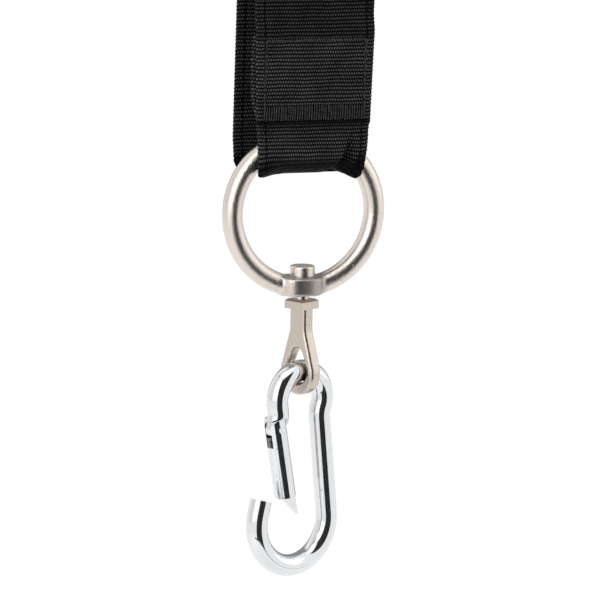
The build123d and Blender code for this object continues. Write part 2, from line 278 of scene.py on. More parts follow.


# %% [markdown]
# Black nylon is not evenly black.  Its grooves lie in shade, so they are painted near black as painted shade,
# and only the beads' tops are painted light.  Worn patches are a little greyer, and where shade falls on the
# strap it is painted darker still.  All of this is one number, the shade, which a ramp turns into colour.
# Dyed nylon has little gloss, so the shader's specular level is kept low.

# %% The webbing's finish
RUNG_WANDER = 0.6  # the most that a rung strays along the strap
WANDER_SIZE, PATCH_SIZE = 7.6923, 6.25  # across one stray, and across one worn patch
LINT_SIZE = 0.38462  # lint is finer than this, and is drawn as coarse as it needs to show
PAINTED_SHADE_LOSS = -0.75  # of the shade, taken away where shade is painted on the cloth
woven_nylon, tree, shader = new_material(
    "woven_nylon",
    {"Roughness": 0.55, "Sheen Weight": 0.02, "Sheen Roughness": 0.4, "Specular IOR Level": 0.04},
)
weave_map = add_node(tree, "UVMap", uv_map="weave")
map_across = add_node(tree, "SeparateXYZ", (weave_map,))
map_along = map_across.node.outputs[1]
place = add_node(tree, "TexCoord", output="Object")
wander = add_node(tree, "TexNoise", {"Vector": place, "Scale": cell_scale(WANDER_SIZE), "Detail": 1.0})
strayed = add_node(tree, "Math", (wander, RUNG_WANDER, map_along), operation="MULTIPLY_ADD")
height = weave_height(tree, map_across, strayed)
patches = add_node(tree, "TexNoise", {"Vector": place, "Scale": cell_scale(PATCH_SIZE), "Detail": 3.0})
lint = add_node(tree, "TexNoise", {"Vector": place, "Scale": cell_scale(LINT_SIZE), "Detail": 2.0})
half_lint = add_node(tree, "Math", (lint, 0.5), operation="MULTIPLY")
mottled = add_node(tree, "Math", (patches, 0.5, half_lint), operation="MULTIPLY_ADD")
lit = add_node(tree, "Math", (height, height), operation="MULTIPLY")  # painted shade: the grooves are dark and only the beads' tops are light
lit_share = add_node(tree, "Math", (lit, 1.0, 0.03), operation="MULTIPLY_ADD")
weave_shade = add_node(tree, "Math", (mottled, lit_share), operation="MULTIPLY")
# painted shade and shadow on the strap, read from the strap's own attribute
painted_shade_here = add_node(tree, "Attribute", output="Fac", attribute_name="painted_shade")
unshaded_share = add_node(tree, "Math", (painted_shade_here, PAINTED_SHADE_LOSS, 1.0), operation="MULTIPLY_ADD")
shade = add_node(tree, "Math", (weave_shade, unshaded_share), operation="MULTIPLY")
# painted shade: the ramp makes the grooves near black and the beads' tops grey
ramp = add_node(tree, "ValToRGB", (shade,))
groove, top = ramp.node.color_ramp.elements
groove.position, groove.color = 0.06, colour("#030303")
top.position, top.color = 0.52, colour("#606062")
tree.links.new(ramp, shader.inputs["Base Color"])
bump = add_node(tree, "Bump", {"Height": height, "Distance": 0.22 * MM, "Strength": 0.8})
tree.links.new(bump, shader.inputs["Normal"])

# %% [markdown]
# ## Sewing thread
# Bonded nylon thread is smoother than the webbing, so it catches a thin line of light along each stitch.
# Its twist is drawn as bands that lie askew to the thread.

# %% The thread's finish
TWIST_PITCH = 0.69813  # the real twist is finer, and would not show
MOTTLE_SIZE = 0.83333
BAND_TURN = 10  # radians that a diagonal wave turns in one unit of its scale
nylon_thread, tree, shader = new_material(
    "bonded_nylon_thread",
    {"Roughness": 0.5, "Sheen Weight": 0.02, "Specular IOR Level": 0.06},
)
place = add_node(tree, "TexCoord", output="Object")
twist_scale = 2 * pi / BAND_TURN * cell_scale(TWIST_PITCH)
twist = add_node(
    tree,
    "TexWave",
    {"Vector": place, "Scale": twist_scale, "Distortion": 2.0},
    output=1,
    wave_type="BANDS",
    bands_direction="DIAGONAL",
)
mottle = add_node(tree, "TexNoise", {"Vector": place, "Scale": cell_scale(MOTTLE_SIZE), "Detail": 2.0})
shade = add_node(tree, "Math", (twist, 0.3, mottle), operation="MULTIPLY_ADD")
ramp = add_node(tree, "ValToRGB", (shade,))
groove, top = ramp.node.color_ramp.elements
groove.position, groove.color = 0.25, colour("#060607")
top.position, top.color = 0.85, colour("#434345")
tree.links.new(ramp, shader.inputs["Base Color"])
bump = add_node(tree, "Bump", {"Height": twist, "Distance": 0.05 * MM, "Strength": 0.5})
tree.links.new(bump, shader.inputs["Normal"])

# %% [markdown]
# ## Plated metal
# Four finishes: bright zinc on the hook, satin nickel on the ring and the pin, rougher nickel on the cast
# eye, and bare spring steel inside the gate.  Metal has no colour of its own under the shine, so its base
# colour is the tint of what it reflects, and the eye reads the plating from how blurred the reflection is.
# A little noise in the roughness, a soft ripple in the height, and rare darker nicks keep it from looking
# like chrome.

# %% A plated finish
NICK_SIZE = 1.11111
NICK_START, NICK_EDGE = 0.73, 0.04  # the noise value at which a nick starts, and how soft its edge is
NICK_DEPTH, NICK_ROUGHNESS = -0.6, 0.25
HAZE_SIZE = 3.84615
HAZE_SHARE = 0.14  # how much of the roughness is uneven


def plated_material(name, tint, worn_tint, roughness, ripple_mm, ripple_depth_mm, nick_amount, metallic=1.0):
    """Metal with a rippled height, uneven roughness, and nicks where a coarse noise passes a threshold."""
    material, tree, shader = new_material(name, {"Metallic": metallic})
    place = add_node(tree, "TexCoord", output="Object")
    ripple = add_node(tree, "TexNoise", {"Vector": place, "Scale": cell_scale(ripple_mm), "Detail": 3.0})
    haze = add_node(tree, "TexNoise", {"Vector": place, "Scale": cell_scale(HAZE_SIZE), "Detail": 4.0})
    speck_look = {"Vector": place, "Scale": cell_scale(NICK_SIZE), "Detail": 2.0, "Roughness": 0.4}
    specks = add_node(tree, "TexNoise", speck_look)
    nick_from = NICK_START - nick_amount
    nick_range = {"Value": specks, "From Min": nick_from, "From Max": nick_from + NICK_EDGE}
    nick = add_node(tree, "MapRange", nick_range)
    tints = {0: nick, 6: colour(tint), 7: colour(worn_tint)}
    mixed = add_node(tree, "Mix", tints, output=2, data_type="RGBA")
    tree.links.new(mixed, shader.inputs["Base Color"])
    middle = roughness - HAZE_SHARE / 2
    hazy = add_node(tree, "Math", (haze, HAZE_SHARE, middle), operation="MULTIPLY_ADD")
    rough = add_node(tree, "Math", (nick, NICK_ROUGHNESS, hazy), operation="MULTIPLY_ADD")
    tree.links.new(rough, shader.inputs["Roughness"])
    depth = add_node(tree, "Math", (nick, NICK_DEPTH, ripple), operation="MULTIPLY_ADD")
    bump = add_node(tree, "Bump", {"Height": depth, "Distance": ripple_depth_mm * MM, "Strength": 0.6})
    tree.links.new(bump, shader.inputs["Normal"])
    return material


# %% [markdown]
# The ring and its boss are one casting in one nickel, but round the boss the skin is grainier and darker,
# because the wire is polished on a wheel that can't reach there.  So the same finish is darkened and
# roughened inside a ball round the boss.


# %% A grainier patch
PATCH_EDGE = 0.8  # where the patch starts to fade, as a share of its reach
GRAIN_SIZE = 0.35
GRAIN_SPREAD = 0.5  # how far a grain's shade may be from the patch's own


def roughen_round(material, centre_mm, reach_mm, tint_share, extra_roughness):
    """Darken and roughen the metal inside a ball, which fades at its surface."""
    tree = material.node_tree
    shader = tree.nodes["Principled BSDF"]
    place = add_node(tree, "TexCoord", output="Object")
    centre = tuple(value * MM for value in centre_mm)
    away = add_node(tree, "VectorMath", (place, centre), output="Value", operation="DISTANCE")
    reach = reach_mm * MM
    fade = {"Value": away, "From Min": PATCH_EDGE * reach, "From Max": reach, "To Min": 1.0, "To Max": 0.0}
    near = add_node(tree, "MapRange", fade)
    grain = add_node(tree, "TexNoise", {"Vector": place, "Scale": cell_scale(GRAIN_SIZE), "Detail": 2.0})
    speckle = add_node(
        tree,
        "Math",
        (grain, GRAIN_SPREAD, 1 - GRAIN_SPREAD / 2),
        operation="MULTIPLY_ADD",
    )
    # near times (share - 1) plus 1 leaves the tint alone outside the ball
    loss = add_node(tree, "Math", (speckle, tint_share, -1.0), operation="MULTIPLY_ADD")
    keep = add_node(tree, "Math", (near, loss, 1.0), operation="MULTIPLY_ADD")
    tint = shader.inputs["Base Color"].links[0].from_socket
    darker = add_node(tree, "VectorMath", {0: tint, "Scale": keep}, operation="SCALE")
    tree.links.new(darker, shader.inputs["Base Color"])
    rough = shader.inputs["Roughness"].links[0].from_socket
    rougher = add_node(tree, "Math", (near, extra_roughness, rough), operation="MULTIPLY_ADD")
    tree.links.new(rougher, shader.inputs["Roughness"])


# %% [markdown]
# The pieces that keep their engineering shape only need a finish.  Each has the material slots of its own
# mesh, and every slot of a piece gets the same finish.

# %% Finish the ready-made pieces
bright_zinc = plated_material("bright_zinc_plate", "#DFE1E3", "#6F6E6C", 0.09, 1.6, 0.02, 0.015)
satin_nickel = plated_material(
    "satin_nickel_plate", "#DAD1C9", "#8A8076", 0.23, 0.45, 0.15, 0.0, metallic=0.97
)
cast_nickel = plated_material("cast_nickel_plate", "#C6BBB1", "#8A8076", 0.27, 0.45, 0.1, -0.06)
spring_steel = plated_material("spring_steel", "#8F9092", "#4A4743", 0.3, 0.8, 0.02, 0.02)

cad_finishes = {
    "swivel_pin": satin_nickel,
    "swivel_eye": cast_nickel,
    "hook_body": bright_zinc,
    "gate": bright_zinc,
    "gate_rivet": bright_zinc,
    "gate_plunger": spring_steel,
}
for node_name, finish in cad_finishes.items():
    for material_slot in bpy.data.objects[node_name].material_slots:
        material_slot.material = finish
    print(node_name, "wears", finish.name)

# %% [markdown]
# ## The strap
# One strip of webbing makes the whole loop.  It starts at its tail, goes down inside the front leg, passes
# under the ring's wire, climbs the back leg, turns over at the top and comes down in front of its own tail,
# where the two layers are sewn together.  It could be modelled as a box that is bent, but a strip that is
# measured along its own length keeps its weave even all the way round, so it is drawn that way.

# %% Sizes of the strap
WEB_WIDTH, WEB_THICKNESS = 40.0, 1.6
LOOP_LENGTH = 150.0  # inside, from one bend to the other
TOP_RADIUS, LOW_RADIUS = 12.0, 6.2  # inside each bend
POCKET_HEIGHT, LAP_LENGTH = 15.0, 28.6
LAP_GAP, TAIL_GAP = 0.1, 0.6  # between the lap's layers, and from the tail's end to the lap's
EASE_LENGTH = 7.0  # in which the outer layer comes back to the line of the leg

half_thickness = WEB_THICKNESS / 2
between_bends = LOOP_LENGTH - TOP_RADIUS - LOW_RADIUS
leg_slope = asin((TOP_RADIUS - LOW_RADIUS) / between_bends)
leg_length = between_bends * cos(leg_slope)
lap_start = POCKET_HEIGHT - LOW_RADIUS
lap_end = lap_start + LAP_LENGTH
print("each leg is", round(leg_length, 1), "mm long and leans by", round(leg_slope, 3), "radians")


def front_leg(along, out):
    """Side view (y, z) of points along the front leg from the lower bend, out from its inner face."""
    y = -LOW_RADIUS * cos(leg_slope) - along * sin(leg_slope) - out * cos(leg_slope)
    z = -LOOP_LENGTH + LOW_RADIUS * (1 - sin(leg_slope)) + along * cos(leg_slope) - out * sin(leg_slope)
    return np.stack([y, z], axis=-1)


def front_normal(along):
    """Outward direction on the front leg."""
    return np.broadcast_to([-cos(leg_slope), -sin(leg_slope)], (len(along), 2))


# %% [markdown]
# The path is drawn in the side view: a straight run for the tail, half a circle under the ring, a run up the
# back, half a circle over the top, and a run down in front of the tail.  Each point also keeps the direction
# that faces away from the inside of the loop.

# %% The strap's path
PATH_STEP = 0.05

tail_along = np.arange(lap_end - TAIL_GAP, 0, -PATH_STEP)
low_turn = np.arange(-(pi / 2 - leg_slope), pi / 2 - leg_slope, PATH_STEP / LOW_RADIUS)
back_along = np.arange(0, leg_length, PATH_STEP)
top_turn = np.arange(-leg_slope, pi + leg_slope, PATH_STEP / TOP_RADIUS)
down_along = np.arange(leg_length, lap_start, -PATH_STEP)

low_normal = np.stack([np.sin(low_turn), -np.cos(low_turn)], axis=-1)
top_normal = np.stack([np.cos(top_turn), np.sin(top_turn)], axis=-1)
step_out = (WEB_THICKNESS + LAP_GAP) * (1 - smoothstep(lap_end, lap_end + EASE_LENGTH, down_along))
mirror = np.array([-1.0, 1.0])

path = np.concatenate(
    [
        front_leg(tail_along, half_thickness),
        np.array([0, -LOOP_LENGTH + LOW_RADIUS]) + low_normal * (LOW_RADIUS + half_thickness),
        front_leg(back_along, half_thickness) * mirror,
        np.array([0, -TOP_RADIUS]) + top_normal * (TOP_RADIUS + half_thickness),
        front_leg(down_along, half_thickness + step_out),
    ]
)
normal = np.concatenate(
    [
        front_normal(tail_along),
        low_normal,
        front_normal(back_along) * mirror,
        top_normal,
        front_normal(down_along),
    ]
)

# %% [markdown]
# Now the path is measured, and rows are set along it at equal steps.  Four rows to a rung are enough to show
# each rung as a soft ridge.

# %% Rows along the strap
ROWS_PER_RUNG = 4

measured = np.concatenate([[0], np.cumsum(np.linalg.norm(np.diff(path, axis=0), axis=1))])
strip_length = float(measured[-1])
rows = int(round(strip_length / RUNG_PITCH * ROWS_PER_RUNG)) + 1
run = np.linspace(0, strip_length, rows)
row_yz = np.stack([np.interp(run, measured, path[:, i]) for i in (0, 1)], axis=-1)
row_normal = np.stack([np.interp(run, measured, normal[:, i]) for i in (0, 1)], axis=-1)

low_start = lap_end - TAIL_GAP  # where the tail's run meets the lower bend
low_end = low_start + (LOW_RADIUS + half_thickness) * (pi - 2 * leg_slope)
low_middle = (low_start + low_end) / 2
leg_top = low_end + leg_length
top_end = leg_top + (TOP_RADIUS + half_thickness) * (pi + 2 * leg_slope)
print("strap", round(strip_length, 1), "mm long,", rows, "rows")

# %% [markdown]
# Across its width the strip is level on both faces and rounded in its last millimetre.  The columns stand
# closer together at the edges and where a crease will come.

# %% Columns round the strap
edge_columns = np.array([0.96, 0.988, 1.0])
inner_columns = [np.linspace(-0.93, 0.35, 18), np.linspace(0.39, 0.78, 13), np.linspace(0.83, 0.93, 3)]
columns = np.concatenate([-edge_columns[::-1], *inner_columns, edge_columns])
edge_round = WEB_THICKNESS / WEB_WIDTH
from_edge = np.clip((np.abs(columns) - (1 - edge_round)) / edge_round, 0, 1)
lens = half_thickness * np.sqrt(1 - from_edge**2)

# round the section once: the outer face from left to right, then the inner face back
around_u = np.concatenate([columns, columns[-2:0:-1]])
around_h = np.concatenate([lens, -lens[-2:0:-1]])
around = len(around_u)
print(len(columns), "columns across,", around, "round the section")

# %% [markdown]
# The ring pinches the strap to two thirds of its width, and above and below that it swings a little to one
# side.  A table says where its left and right edges lie, and an average over a few rows takes the corners
# off.

# %% Where the strap's edges lie
EASED_ROWS = 7

# distance along the strip from its tail, left edge, right edge
edge_places = [
    (0, -21.0, 18.7),
    (8, -21.5, 18.6),
    (20, -21.0, 18.6),
    (27, -19.0, 18.9),
    (low_start, -18.3, 18.5),
    (low_start + 3.5, -18.1, 17.8),
    (low_start + 5.0, -17.9, 16.6),
    (low_start + 6.1, -17.6, 15.4),
    (low_start + 7.4, -15.4, 13.7),
    (low_start + 8.0, -13.9, 13.5),
    (low_end - 8.0, -13.9, 13.9),
    (low_end - 6.5, -18.6, 16.6),
    (low_end - 4.5, -21.4, 18.2),
    (low_end + 3, -21.8, 18.3),
    (low_end + 48, -20.5, 19.5),
    (leg_top, -19.6, 20.4),
    (top_end, -19.6, 20.4),
    (strip_length - 40, -20.7, 19.2),
    (strip_length - 20, -20.5, 18.8),
    (strip_length, -19.6, 18.5),
]


def eased(values, reach):
    """A row by row average over a few neighbours, weighted by a raised cosine."""
    kernel = np.hanning(reach + 2)[1:-1]
    padded = np.pad(values, reach // 2, mode="edge")
    return np.convolve(padded, kernel / kernel.sum(), mode="valid")


along_strip, left_edge, right_edge = (np.array(column) for column in zip(*edge_places))
left = eased(np.interp(run, along_strip, left_edge), EASED_ROWS)[:, None]
right = eased(np.interp(run, along_strip, right_edge), EASED_ROWS)[:, None]
print("narrowest", round(float((right - left).min()), 1), "mm, widest", round(float((right - left).max()), 1))

# %% [markdown]
# Each rung is a ridge: the strap's thickness follows the size of a sine along it.  The edges follow it too,
# so that they are finely scalloped.

# %% The rungs
RUNG_DEPTH, EDGE_SCALLOP = 0.15, 0.22

s = run[:, None]  # along the strip, in millimetres
u = around_u[None, :]  # across it, from -1 to 1
rung_wave = np.abs(np.sin(pi * s / RUNG_PITCH))
middle_x, half_x = (left + right) / 2, (right - left) / 2
x = middle_x + u * (half_x - EDGE_SCALLOP * (1 - rung_wave))
thick = around_h[None, :] * (1 - RUNG_DEPTH / half_thickness * (1 - rung_wave))
print(round(strip_length / RUNG_PITCH), "rungs")

# %% [markdown]
# What is too much for the ring folds into a pleat near the right corner.  Seen across the strap it has a
# small lip, a steep wall down, a smooth slope up, and then a flap that stands proud.  It grows from nothing
# above the bend and leans to the left on its way down.

# %% The pleat
PLEAT_DEPTH = 1.7
FLAP_PROUD, LIP_PROUD = 0.5, 0.25
PLEAT_LEFT, PLEAT_RIGHT = 0.67, 0.69  # where its sides start, as shares of half the strap's width, like u
LEAN_LEFT, LEAN_RIGHT = 0.15, 0.05  # how far its sides move apart on the way down
WALL_WIDTH = 0.05

pleat_top, pleat_full = low_start - 9.0, low_start + 3.5
grow = smoothstep(pleat_top, pleat_full, s) * (1 - smoothstep(low_start + 3, low_middle, s))
lean = smoothstep(pleat_top, pleat_full + 3, s)
pleat_left, pleat_right = PLEAT_LEFT - LEAN_LEFT * lean, PLEAT_RIGHT + LEAN_RIGHT * lean
wall_down = smoothstep(0.0, WALL_WIDTH, u - pleat_left)
slope_up = np.clip((u - pleat_left - WALL_WIDTH) / (pleat_right - pleat_left - WALL_WIDTH), 0, 1)
flap = FLAP_PROUD * (1 - smoothstep(0.86, 1.0, u))
lip = LIP_PROUD * bell(u, pleat_left - 0.04, WALL_WIDTH)
pleat = grow * (wall_down * (-PLEAT_DEPTH + slope_up * (PLEAT_DEPTH + flap)) + lip)
print("pleat from", round(float(pleat.min()), 2), "to", round(float(pleat.max()), 2), "mm")

# %% [markdown]
# The bend under the ring is round in the middle of the strap and nearly square at its edges.  A superellipse
# says both: with the power 2 it is a circle, and the higher the power, the squarer the turn.

# %% The lower bend
ROUND_POWER, SQUARE_POWER = 2, 6
SQUARE_LEFT, SQUARE_RIGHT, SQUARE_FULL = 0.5, 0.72, 0.95  # where across the strap it turns square

turn = np.clip((s - low_start) / (low_end - low_start), 0, 1) * pi
square_from = np.where((u > 0) & (s < low_middle), SQUARE_RIGHT, SQUARE_LEFT)
power = ROUND_POWER + (SQUARE_POWER - ROUND_POWER) * smoothstep(square_from, SQUARE_FULL, np.abs(u))
square = (np.abs(np.cos(turn)) ** power + np.abs(np.sin(turn)) ** power) ** (-1 / power)
grown = (square - 1) * (LOW_RADIUS + half_thickness)

out = thick + pleat + grown
y = row_yz[:, 0][:, None] + out * row_normal[:, 0][:, None]
z = row_yz[:, 1][:, None] + out * row_normal[:, 1][:, None]
print("squarest corner stands out", round(float(grown.max()), 2), "mm")

# %% [markdown]
# The strap's edges aren't held by the ring, so they hang: a little at the left, more at the right, where the
# pleat ends, and hardly at all at the back.  The middle sags under the wire, and the pleat lifts it again.
# Each of these is a smooth bump added to the height.

# %% The hanging corners
SAG, PLEAT_LIFT = 0.4, 1.0
LEFT_DROP, RIGHT_DROP, BACK_DROP = 0.95, 2.3, 0.3

under = bell(s, low_middle, 8.0)
lift = PLEAT_LIFT * bell(u, 0.62, 0.14) * (s < low_middle)
left_corner = LEFT_DROP * smoothstep(0.75, 1.0, -u)
right_corner = RIGHT_DROP * smoothstep(0.82, 0.98, u)
back_corners = BACK_DROP * smoothstep(0.75, 1.0, np.abs(u))
front_corners = np.where(u < 0, left_corner, right_corner)
drop = np.where(s < low_middle, front_corners, back_corners)
corner_place = np.where(u < 0, low_start + 6.0, low_start + 5.2)
corner_reach = np.where(u < 0, 3.5, 2.2)
z = z + under * (lift - SAG) - bell(s, corner_place, corner_reach) * drop
strap_points = np.stack([x, y, z], axis=-1)
print("lowest cloth", round(float(z.min()), 1), "mm")

# %% [markdown]
# Painted shade: the cloth is darkened where shade falls on it.  The bend faces down, the pleat's wall lies in
# shadow, the webbing under the tack shows only between its threads, a shadow runs along the lap's melted end,
# and the inside of the loop is shaded by the other leg.  The front leg above the lap, where less light falls,
# is painted darker too.  One number at each point says how much, and the finish reads it.

# %% Where shade is painted on the cloth
SEAM_INSET = 1.8  # the box's top seam, below the lap's end
# how strong three of the painted shades are
UPPER_LEG_SHADE, PLEAT_SHADE, INNER_SHADE = 0.5, 0.65, 0.3

# painted shade in the bend under the ring, which faces down
into_bend = smoothstep(low_start + 1.0, low_start + 4.6, s + 2.5 * smoothstep(0.7, 1.0, u))
bend_shade = into_bend * (1 - smoothstep(low_end - 5, low_end - 1, s))
# painted shadow in the pleat's wall
in_pleat = smoothstep(0.0, 0.03, u - pleat_left) * (1 - smoothstep(-0.02, 0.03, u - pleat_right))
# painted shade on the webbing that shows between the tack's threads
below_tack = smoothstep(strip_length - 6.4, strip_length - 6.1, s)
under_tack = below_tack * (1 - smoothstep(0.84, 0.87, np.abs(u)))
# painted shadow along the lap's melted cut end
cut_end_shadow = smoothstep(strip_length - 1.5, strip_length - 1.2, s)
# painted shade on the inside of the loop, which the other leg shades
inside_loop = INNER_SHADE * (around_h < 0)[None, :]
# painted shade on the front leg above the lap's seam, fading out towards the top bend
seam_place = strip_length - LAP_LENGTH + SEAM_INSET
above_seam = 1 - smoothstep(seam_place - 1.0, seam_place + 0.5, s)
upper_leg_shade = UPPER_LEG_SHADE * smoothstep(top_end, top_end + 40, s) * above_seam
painted_shade_amount = upper_leg_shade + bend_shade + PLEAT_SHADE * grow * in_pleat + under_tack + cut_end_shadow + inside_loop
painted_shade_amount = np.minimum(painted_shade_amount, 1) * np.ones_like(x)
# how much of the strap is in full painted shade
print("tight cloth", round(100 * float((painted_shade_amount > 0.9).mean()), 1), "% of the points")

# %% [markdown]
# The two cut ends are closed column by column.  Nylon is cut with a hot knife, which melts the threads
# together, so a closed end is what the real strap has too.


# %% Make the strap
def end_cap(first, flip):
    """Faces that join the outer and inner edge of one cut end, column by column."""
    outer = np.arange(len(columns))
    inner = np.concatenate([[0], np.arange(around - 1, len(columns) - 1, -1), [len(columns) - 1]])
    quads = np.stack([outer[1:-2], outer[2:-1], inner[2:-1], inner[1:-2]], axis=-1)
    tips = np.array([[outer[0], outer[1], inner[1]], [outer[-2], outer[-1], inner[-2]]])
    if flip:
        quads, tips = quads[:, ::-1], tips[:, ::-1]
    return quads + first, tips + first


side_faces = grid_faces(rows, around, close_columns=True)[:, ::-1]
tail_cap, tail_tips = end_cap(0, False)
lap_cap, lap_tips = end_cap((rows - 1) * around, True)
strap = new_piece("strap", "loop", woven_nylon)
strap_map = np.stack([np.broadcast_to(u * WEB_WIDTH / 2, x.shape), np.broadcast_to(s, x.shape)], axis=-1)
fill_mesh(
    strap.data,
    strap_points,
    np.concatenate([side_faces, tail_cap, lap_cap]),
    np.concatenate([tail_tips, lap_tips]),
    strap_map,
)
# the painted shade goes onto the strap, one value at each point
painted_shade = strap.data.attributes.new("painted_shade", "FLOAT", "POINT")
painted_shade.data.foreach_set("value", painted_shade_amount.ravel())
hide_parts("webbing")

# %% [markdown]
# ## The sewing
# The lap is held by a box of running stitches and, at its lower end, a bar tack: a band of threads laid
# close side by side.  A bump in the webbing's finish would not show against the light, so each thread is a
# thin tube along its own short path, which dives into the webbing at both ends.

# %% Tubes of thread
LAP_MIDDLE = -0.7  # the front layer's middle, across


def thread_tubes(paths, radius, sides=6):
    """Tubes round many paths at once: points on a circle square to each path's direction at its points."""
    paths = np.asarray(paths, dtype=float)
    count, steps, _ = paths.shape
    direction = np.gradient(paths, axis=1)
    direction /= np.linalg.norm(direction, axis=2, keepdims=True)
    helper = np.cross(direction, np.array([0.0, 1.0, 0.0]))
    helper /= np.linalg.norm(helper, axis=2, keepdims=True)
    other = np.cross(direction, helper)
    angle = np.linspace(0, 2 * pi, sides, endpoint=False)[:, None]
    circle = helper[:, :, None] * np.cos(angle) + other[:, :, None] * np.sin(angle)
    points = paths[:, :, None] + circle * radius
    first = (np.arange(count) * steps * sides)[:, None, None]
    quads = grid_faces(steps, sides, close_columns=True)[None] + first
    rim = np.arange(sides)
    caps = np.stack([rim[::-1], (steps - 1) * sides + rim])[None] + first
    return points.reshape(-1, 3), quads.reshape(-1, 4), caps.reshape(-1, sides)


def on_lap(across, along, out):
    """Points on the lap: across the strap, up the front leg, and out from its inner face."""
    side = front_leg(along, out)
    return np.stack([across + LAP_MIDDLE + 0 * along, side[..., 0], side[..., 1]], axis=-1)


def sewn(name, parts, node_name):
    """One piece made of many tubes, in place of an engineering node."""
    piece = new_piece(name, "loop", nylon_thread)
    points, quads, caps = zip(*parts)
    first = np.cumsum([0] + [len(part) for part in points])
    fill_mesh(
        piece.data,
        np.concatenate(points),
        np.concatenate([part + start for part, start in zip(quads, first)]),
        np.concatenate([part + start for part, start in zip(caps, first)]),
    )
    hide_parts(node_name)
    return piece


# %% [markdown]
# A sewing machine lays the tack's threads up and down the lap.  They aren't quite even: each is moved,
# slanted and raised by a small random amount.

# %% The bar tack
FACE_OUT = 2 * WEB_THICKNESS + LAP_GAP  # the lap's outer face, from the leg's inner one
TACK_RADIUS = 0.23
TACK_HALF = WEB_WIDTH / 2 - 3.4
TACK_PITCH = 0.79
SLANT, SLANT_SPREAD = 0.1, 0.06
SIDE_SPREAD, LIFT_SPREAD, END_SPREAD = 0.04, 0.05, 0.12  # how uneven the threads are
tack_low, tack_high = lap_start + 1.4, lap_start + 6.0


def tack_threads(face, outward):
    """A row of threads up the lap: each rises out of the webbing, runs straight and dives back in."""
    count = int(2 * TACK_HALF / TACK_PITCH) + 1
    across = np.linspace(-TACK_HALF, TACK_HALF, count) + rng.normal(0, SIDE_SPREAD, count)
    slant = rng.normal(SLANT, SLANT_SPREAD, count)
    lift = rng.normal(0, LIFT_SPREAD, count)
    t = np.array([0.0, 0.04, 0.14, 0.5, 0.86, 0.96, 1.0])
    rise = np.array([-0.45, 0.0, 0.16, 0.2, 0.16, 0.0, -0.45])
    ends = rng.normal(0, END_SPREAD, (2, count))
    along = (tack_low + ends[0])[:, None] + (tack_high - tack_low + ends[1] - ends[0])[:, None] * t
    out = face + outward * (rise[None] + lift[:, None])
    return on_lap(across[:, None] + slant[:, None] * (t[None] - 0.5), along, out)


tack_sides = [tack_threads(FACE_OUT, 1), tack_threads(0, -1)]
bar_tack = sewn("bar_tack_threads", [thread_tubes(side, TACK_RADIUS) for side in tack_sides], "bar_tack")

# %% [markdown]
# The box is sewn up both sides and across the top.  A running stitch shows as short arches, end to end, on
# both faces.  At the right the seam is sewn back over itself, a little askew, so that it can't run open.

# %% The box of running stitches
STITCH, STITCH_SPREAD = 1.5, 0.06
THREAD_RADIUS = 0.28
BACKTACK, BACKTACK_LEAN, BACKTACK_PROUD = 5.0, 0.5, 0.1
top_row = lap_end - SEAM_INSET


def stitch_row(start, end, face, outward):
    """Stitches between two (across, along) points: short arches of thread, end to end."""
    start, end = np.array(start), np.array(end)
    count = int(round(float(np.linalg.norm(end - start)) / STITCH))
    t = np.array([0.08, 0.2, 0.5, 0.8, 0.92])
    rise = np.array([-0.5, -0.1, 0.0, -0.1, -0.5])
    place = (np.arange(count)[:, None] + t[None]) / count
    flat = start + (end - start) * place[..., None]
    flat = flat + rng.normal(0, STITCH_SPREAD, (count, 1, 2))
    return on_lap(flat[..., 0], flat[..., 1], face + outward * np.broadcast_to(rise, (count, len(t))))


seams = []
for face, outward in ((FACE_OUT, 1), (0, -1)):
    for edge in (-TACK_HALF, TACK_HALF):
        seams.append(stitch_row((edge, tack_high), (edge, top_row), face, outward))
    seams.append(stitch_row((-TACK_HALF, top_row), (TACK_HALF, top_row), face, outward))
for askew in (BACKTACK_LEAN, -BACKTACK_LEAN):
    backtack_start = (TACK_HALF - askew, top_row)
    backtack_end = (TACK_HALF + askew, top_row - BACKTACK)
    seams.append(stitch_row(backtack_start, backtack_end, FACE_OUT + BACKTACK_PROUD, 1))
seam_tubes = [thread_tubes(seam, THREAD_RADIUS) for seam in seams]
box_stitches = sewn("box_stitch_threads", seam_tubes, "box_stitching")

# %% [markdown]
# ## The ring
# The ring is a hoop of round wire that swells into a round boss at its lowest point, where the swivel's pin
# goes through.  Real castings have no sharp corner where two shapes meet.  A bevel can't follow the curve in
# which a wire meets a column, so the hoop and the boss are blended instead: each is a distance, and where
# the two distances are nearly equal their smaller one gets a soft corner.

# %% The ring's blend
RING_WIRE = 6.6
WIRE_RADIUS = RING_WIRE / 2
HOOP_RADIUS = (ring_high[0] - ring_low[0]) / MM / 2 - WIRE_RADIUS
HOOP_CENTRE = RING_CENTRE.z / MM
BOSS_RADIUS, BOSS_HEIGHT, BOSS_EDGE = 6.5, 5.8, 0.8
BOSS_MIDDLE = HOOP_CENTRE - (HOOP_RADIUS - WIRE_RADIUS) + 0.1 - BOSS_HEIGHT / 2
BOSS_LENGTH, BOSS_POWER = 6.9, 2.6  # half its length along the hoop, and how square its plan is
BOSS_LEFT = 0.8  # how far its middle stands left of the pin
BLEND = 1.3
WIRE_CUT, CUT_EASE = 1.2, 3.0


def hoop_distance(p):
    """Distance from a torus: the distance from its centre circle, less the wire's radius."""
    flat = np.sqrt(p[..., 0] ** 2 + (p[..., 2] - HOOP_CENTRE) ** 2) - HOOP_RADIUS
    return np.sqrt(flat**2 + p[..., 1] ** 2) - WIRE_RADIUS


